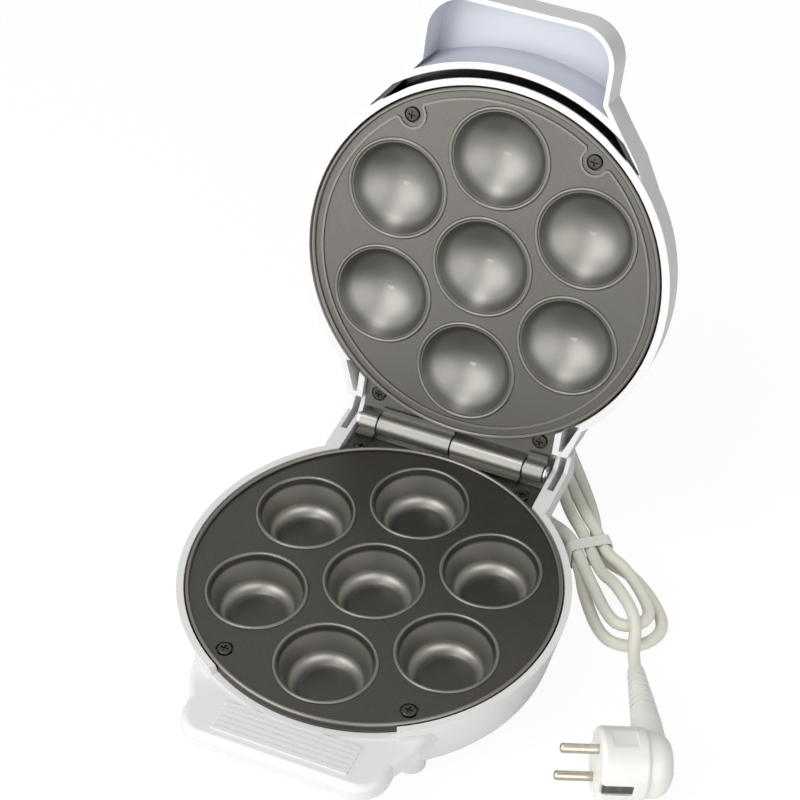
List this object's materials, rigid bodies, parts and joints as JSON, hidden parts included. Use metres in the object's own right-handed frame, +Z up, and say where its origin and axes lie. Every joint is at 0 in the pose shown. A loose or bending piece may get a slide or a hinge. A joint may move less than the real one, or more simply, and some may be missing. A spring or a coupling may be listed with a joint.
{
  "type": "electric muffin maker",
  "caption": "Hinged electric muffin maker standing open: round cup plate below, domed plate in the lid, handle hood, hidden heaters, mains cord tied in a hank with an angled plug.",
  "frame": {"origin": "on the table, under the middle of the open appliance without its cord", "axes": "+X along the hinge to the right as the user faces it, +Y to the back, +Z up"},
  "size_m": [0.2744, 0.3249, 0.2715],
  "materials": {
    "nonstick_plate": "dark non-stick coating, satin",
    "nonstick_lid_plate": "grey-brown non-stick coating, satin",
    "white_housing": "gloss moulded thermoset",
    "steel": "plated steel",
    "element_sheath": "heat-darkened steel sheath",
    "galvanised_sheet": "galvanised sheet",
    "thermostat": "ceramic body with a metal cap",
    "fuse_can": "drawn can",
    "terminal_plastic": "moulded polyamide",
    "wire_sleeve": "glass-braid and silicone sleeves",
    "white_cord": "PVC sheath",
    "white_plug": "moulded PVC",
    "pin_metal": "nickel-plated brass",
    "clip_metal": "sprung earth clip",
    "rubber_pad": "grey rubber",
    "lamp_lens": "clear red polycarbonate",
    "lamp_glass": "neon lamp glass"
  },
  "bodies": {
    "base": {"base_housing": "white_housing", "lower_plate": "nonstick_plate", "hinge_pin": "steel", "hinge_pin_clip": "steel", "lower_plate_screws": "steel", "lower_heating_element": "element_sheath", "lower_element_straps": "steel", "lower_strap_screws": "steel", "lower_heat_shield": "galvanised_sheet", "lower_shield_screws": "steel", "lower_thermostat": "thermostat", "thermal_fuse": "fuse_can", "terminal_block": "terminal_plastic", "terminal_screws": "steel", "cord_gland": "white_cord", "foot_pads": "rubber_pad", "base_wiring": "wire_sleeve", "cord_lead": "white_cord", "cord_hank": "white_cord", "cord_tail": "white_cord", "cord_tie": "white_plug", "plug_body": "white_plug", "plug_pins": "pin_metal", "plug_earth_clips": "clip_metal", "plug_strain_relief": "white_plug"},
    "lid": {"lid_housing": "white_housing", "upper_plate": "nonstick_lid_plate", "upper_plate_screws": "steel", "upper_heating_element": "element_sheath", "upper_element_straps": "steel", "upper_strap_screws": "steel", "upper_heat_shield": "galvanised_sheet", "upper_shield_screws": "steel", "upper_thermostat": "thermostat", "lamp_lenses": "lamp_lens", "lamp_bulbs": "lamp_glass", "lamp_holder": "terminal_plastic", "lid_wiring": "wire_sleeve"}
  },
  "joints": [
    {"name": "lid_hinge", "type": "hinge", "parent": "base", "child": "lid", "pos_m": [0, 0.0617, 0.0436], "axis": [1, 0, 0], "range_deg": [0, 108.7]}
  ]
}
